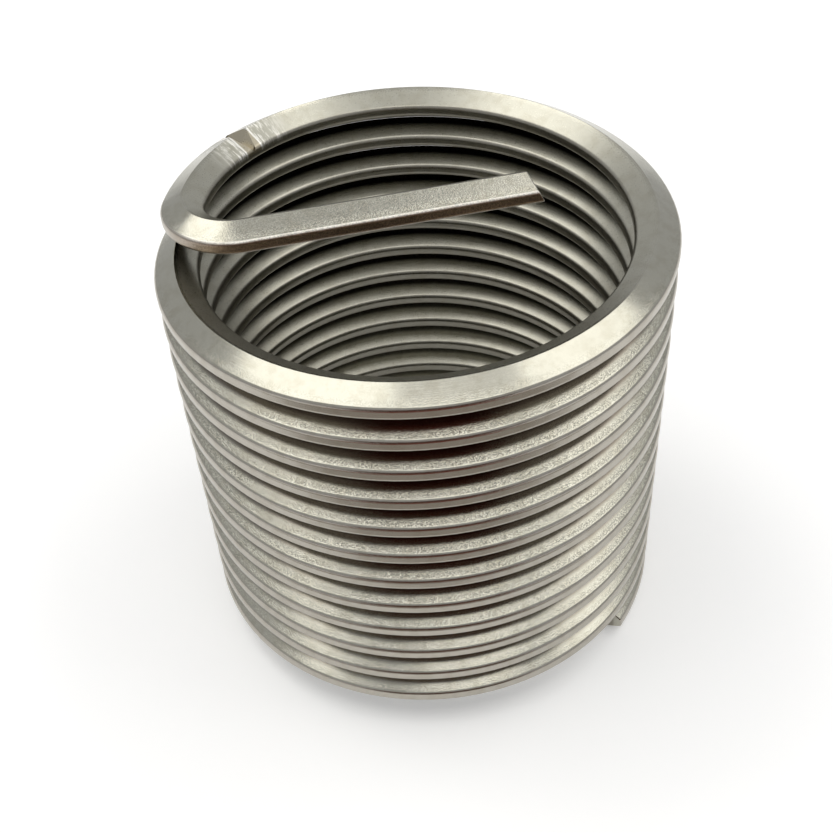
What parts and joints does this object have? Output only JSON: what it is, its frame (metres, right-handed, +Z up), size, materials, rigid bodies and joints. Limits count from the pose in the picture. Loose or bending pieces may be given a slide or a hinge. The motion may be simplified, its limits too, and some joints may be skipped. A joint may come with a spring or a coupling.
{
  "type": "helical thread insert",
  "caption": "Coil of diamond-section stainless wire that lines a tapped hole with a new metric thread, with a driving tang folded across one end and a break-off notch.",
  "frame": {"origin": "on the coil's axis, at the height of the lowest point of the lower wire end, where the insert stands", "axes": "+Z up along the coil's axis to the tang end; the tang lies along +X and a little towards +Y"},
  "size_m": [0.0276, 0.0276, 0.0271],
  "materials": {
    "stainless_steel": "satin, as rolled and coiled"
  },
  "bodies": {
    "root": {"thread_insert": "stainless_steel"}
  },
  "joints": []
}
